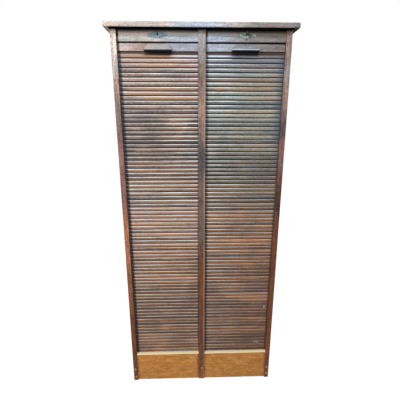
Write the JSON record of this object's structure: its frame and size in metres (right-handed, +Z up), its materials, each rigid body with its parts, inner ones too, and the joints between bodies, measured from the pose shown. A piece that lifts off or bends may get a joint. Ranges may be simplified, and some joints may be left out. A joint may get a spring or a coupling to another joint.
{
  "type": "tambour door cabinet",
  "caption": "Tall two-bay wooden cabinet with slatted roll fronts that slide down behind a plinth, locks, finger pulls and shelves inside.",
  "frame": {"origin": "on the floor, under the middle of the bounding box", "axes": "+Z up, front towards -Y, +X to the right seen from the front"},
  "size_m": [0.74, 0.429, 1.66],
  "materials": {
    "oak_case": "dark stained oak, old wax, satin, worn paler on the edges",
    "oak_slats": "dark stained oak slats, satin, each slat a little different",
    "oak_plinth": "honey coloured oak, stripped and waxed, satin",
    "shelf_wood": "plain pale wood, dry, matt",
    "patinated_brass": "blue-green patina, dull",
    "lock_brass": "aged brass, satin",
    "lock_steel": "dark aged steel"
  },
  "bodies": {
    "case": {"side_board_left": "oak_case", "side_board_right": "oak_case", "centre_partition": "oak_case", "top_board": "oak_case", "lock_rail_left": "oak_case", "lock_rail_right": "oak_case", "plinth_left": "oak_plinth", "plinth_right": "oak_plinth", "floor_board_left": "shelf_wood", "inner_back_left": "shelf_wood", "back_panel_left": "shelf_wood", "floor_board_right": "shelf_wood", "inner_back_right": "shelf_wood", "back_panel_right": "shelf_wood", "shelf_left_1": "shelf_wood", "shelf_left_2": "shelf_wood", "shelf_left_3": "shelf_wood", "shelf_left_4": "shelf_wood", "shelf_right_1": "shelf_wood", "shelf_right_2": "shelf_wood", "shelf_right_3": "shelf_wood", "shelf_right_4": "shelf_wood", "escutcheon_left": "patinated_brass", "escutcheon_right": "patinated_brass", "lock_case_left": "lock_steel", "lock_case_right": "lock_steel"},
    "curtain_left": {"lead_rail_left": "oak_case", "strike_plate_left": "lock_brass", "pull_left": "oak_case", "curtain_left_01": "oak_slats"},
    "curtain_right": {"lead_rail_right": "oak_case", "strike_plate_right": "lock_brass", "pull_right": "oak_case", "curtain_right_01": "oak_slats"},
    "bolt_left": {"lock_bolt_left": "lock_brass"},
    "bolt_right": {"lock_bolt_right": "lock_brass"},
    "key": {"key": "lock_steel"},
    "ring": {"split_ring": "lock_steel"},
    "spare_key": {"spare_key": "lock_steel"},
    "curtain_left_panel_02": {"curtain_left_02": "oak_slats"},
    "curtain_left_panel_03": {"curtain_left_03": "oak_slats"},
    "curtain_left_panel_04": {"curtain_left_04": "oak_slats"},
    "curtain_left_panel_05": {"curtain_left_05": "oak_slats"},
    "curtain_left_panel_06": {"curtain_left_06": "oak_slats"},
    "curtain_left_panel_07": {"curtain_left_07": "oak_slats"},
    "curtain_left_panel_08": {"curtain_left_08": "oak_slats"},
    "curtain_left_panel_09": {"curtain_left_09": "oak_slats"},
    "curtain_left_panel_10": {"curtain_left_10": "oak_slats"},
    "curtain_left_panel_11": {"curtain_left_11": "oak_slats"},
    "curtain_right_panel_02": {"curtain_right_02": "oak_slats"},
    "curtain_right_panel_03": {"curtain_right_03": "oak_slats"},
    "curtain_right_panel_04": {"curtain_right_04": "oak_slats"},
    "curtain_right_panel_05": {"curtain_right_05": "oak_slats"},
    "curtain_right_panel_06": {"curtain_right_06": "oak_slats"},
    "curtain_right_panel_07": {"curtain_right_07": "oak_slats"},
    "curtain_right_panel_08": {"curtain_right_08": "oak_slats"},
    "curtain_right_panel_09": {"curtain_right_09": "oak_slats"},
    "curtain_right_panel_10": {"curtain_right_10": "oak_slats"},
    "curtain_right_panel_11": {"curtain_right_11": "oak_slats"}
  },
  "joints": [
    {"name": "curtain_left_slide", "type": "slide", "parent": "case", "child": "curtain_left", "axis": [0, 0, -1], "range_m": [0, 1.406], "deforming": ["curtain_left_01"]},
    {"name": "curtain_left_02_slide", "type": "slide", "parent": "case", "child": "curtain_left_panel_02", "axis": [0, 0, -1], "range_m": [0, 1.266], "deforming": ["curtain_left_02"]},
    {"name": "curtain_left_03_slide", "type": "slide", "parent": "case", "child": "curtain_left_panel_03", "axis": [0, 0, -1], "range_m": [0, 1.126], "deforming": ["curtain_left_03"]},
    {"name": "curtain_left_04_slide", "type": "slide", "parent": "case", "child": "curtain_left_panel_04", "axis": [0, 0, -1], "range_m": [0, 0.986], "deforming": ["curtain_left_04"]},
    {"name": "curtain_left_05_slide", "type": "slide", "parent": "case", "child": "curtain_left_panel_05", "axis": [0, 0, -1], "range_m": [0, 0.846], "deforming": ["curtain_left_05"]},
    {"name": "curtain_left_06_slide", "type": "slide", "parent": "case", "child": "curtain_left_panel_06", "axis": [0, 0, -1], "range_m": [0, 0.706], "deforming": ["curtain_left_06"]},
    {"name": "curtain_left_07_slide", "type": "slide", "parent": "case", "child": "curtain_left_panel_07", "axis": [0, 0, -1], "range_m": [0, 0.566], "deforming": ["curtain_left_07"]},
    {"name": "curtain_left_08_slide", "type": "slide", "parent": "case", "child": "curtain_left_panel_08", "axis": [0, 0, -1], "range_m": [0, 0.426], "deforming": ["curtain_left_08"]},
    {"name": "curtain_left_09_slide", "type": "slide", "parent": "case", "child": "curtain_left_panel_09", "axis": [0, 0, -1], "range_m": [0, 0.286], "deforming": ["curtain_left_09"]},
    {"name": "curtain_left_10_slide", "type": "slide", "parent": "case", "child": "curtain_left_panel_10", "axis": [0, 0, -1], "range_m": [0, 0.146], "deforming": ["curtain_left_10"]},
    {"name": "curtain_left_11_slide", "type": "slide", "parent": "case", "child": "curtain_left_panel_11", "axis": [0, 0, -1], "range_m": [0, 0.076], "deforming": ["curtain_left_11"]},
    {"name": "curtain_right_slide", "type": "slide", "parent": "case", "child": "curtain_right", "axis": [0, 0, -1], "range_m": [0, 1.406], "deforming": ["curtain_right_01"]},
    {"name": "curtain_right_02_slide", "type": "slide", "parent": "case", "child": "curtain_right_panel_02", "axis": [0, 0, -1], "range_m": [0, 1.266], "deforming": ["curtain_right_02"]},
    {"name": "curtain_right_03_slide", "type": "slide", "parent": "case", "child": "curtain_right_panel_03", "axis": [0, 0, -1], "range_m": [0, 1.126], "deforming": ["curtain_right_03"]},
    {"name": "curtain_right_04_slide", "type": "slide", "parent": "case", "child": "curtain_right_panel_04", "axis": [0, 0, -1], "range_m": [0, 0.986], "deforming": ["curtain_right_04"]},
    {"name": "curtain_right_05_slide", "type": "slide", "parent": "case", "child": "curtain_right_panel_05", "axis": [0, 0, -1], "range_m": [0, 0.846], "deforming": ["curtain_right_05"]},
    {"name": "curtain_right_06_slide", "type": "slide", "parent": "case", "child": "curtain_right_panel_06", "axis": [0, 0, -1], "range_m": [0, 0.706], "deforming": ["curtain_right_06"]},
    {"name": "curtain_right_07_slide", "type": "slide", "parent": "case", "child": "curtain_right_panel_07", "axis": [0, 0, -1], "range_m": [0, 0.566], "deforming": ["curtain_right_07"]},
    {"name": "curtain_right_08_slide", "type": "slide", "parent": "case", "child": "curtain_right_panel_08", "axis": [0, 0, -1], "range_m": [0, 0.426], "deforming": ["curtain_right_08"]},
    {"name": "curtain_right_09_slide", "type": "slide", "parent": "case", "child": "curtain_right_panel_09", "axis": [0, 0, -1], "range_m": [0, 0.286], "deforming": ["curtain_right_09"]},
    {"name": "curtain_right_10_slide", "type": "slide", "parent": "case", "child": "curtain_right_panel_10", "axis": [0, 0, -1], "range_m": [0, 0.146], "deforming": ["curtain_right_10"]},
    {"name": "curtain_right_11_slide", "type": "slide", "parent": "case", "child": "curtain_right_panel_11", "axis": [0, 0, -1], "range_m": [0, 0.076], "deforming": ["curtain_right_11"]},
    {"name": "key_turn", "type": "hinge", "parent": "case", "child": "key", "pos_m": [0.17125, -0.1725, 1.628], "axis": [0, 1, 0], "range_deg": [0, 90]},
    {"name": "right_bolt_throw", "type": "slide", "parent": "case", "child": "bolt_right", "axis": [0, 0, -1], "range_m": [0, 0.008]},
    {"name": "ring_hang", "type": "hinge", "parent": "key", "child": "ring", "pos_m": [0.17125, -0.1955, 1.62125], "axis": [0, 1, 0], "range_deg": [-90, 0]},
    {"name": "spare_key_swing", "type": "hinge", "parent": "ring", "child": "spare_key", "pos_m": [0.17125, -0.1955, 1.6067], "axis": [1, 0, 0], "range_deg": [-40, 40]},
    {"name": "left_bolt_throw", "type": "slide", "parent": "case", "child": "bolt_left", "axis": [0, 0, -1], "range_m": [0, 0.008]}
  ],
  "couplings": [
    {"joint": "curtain_left_02_slide", "follows": "curtain_left_slide", "ratio": 0.90043},
    {"joint": "curtain_left_03_slide", "follows": "curtain_left_slide", "ratio": 0.80085},
    {"joint": "curtain_left_04_slide", "follows": "curtain_left_slide", "ratio": 0.70128},
    {"joint": "curtain_left_05_slide", "follows": "curtain_left_slide", "ratio": 0.60171},
    {"joint": "curtain_left_06_slide", "follows": "curtain_left_slide", "ratio": 0.50213},
    {"joint": "curtain_left_07_slide", "follows": "curtain_left_slide", "ratio": 0.40256},
    {"joint": "curtain_left_08_slide", "follows": "curtain_left_slide", "ratio": 0.30299},
    {"joint": "curtain_left_09_slide", "follows": "curtain_left_slide", "ratio": 0.20341},
    {"joint": "curtain_left_10_slide", "follows": "curtain_left_slide", "ratio": 0.10384},
    {"joint": "curtain_left_11_slide", "follows": "curtain_left_slide", "ratio": 0.054054},
    {"joint": "curtain_right_02_slide", "follows": "curtain_right_slide", "ratio": 0.90043},
    {"joint": "curtain_right_03_slide", "follows": "curtain_right_slide", "ratio": 0.80085},
    {"joint": "curtain_right_04_slide", "follows": "curtain_right_slide", "ratio": 0.70128},
    {"joint": "curtain_right_05_slide", "follows": "curtain_right_slide", "ratio": 0.60171},
    {"joint": "curtain_right_06_slide", "follows": "curtain_right_slide", "ratio": 0.50213},
    {"joint": "curtain_right_07_slide", "follows": "curtain_right_slide", "ratio": 0.40256},
    {"joint": "curtain_right_08_slide", "follows": "curtain_right_slide", "ratio": 0.30299},
    {"joint": "curtain_right_09_slide", "follows": "curtain_right_slide", "ratio": 0.20341},
    {"joint": "curtain_right_10_slide", "follows": "curtain_right_slide", "ratio": 0.10384},
    {"joint": "curtain_right_11_slide", "follows": "curtain_right_slide", "ratio": 0.054054},
    {"joint": "key_turn", "follows": "right_bolt_throw", "rad_per_m": 196.35},
    {"joint": "ring_hang", "follows": "right_bolt_throw", "rad_per_m": -196.35}
  ]
}
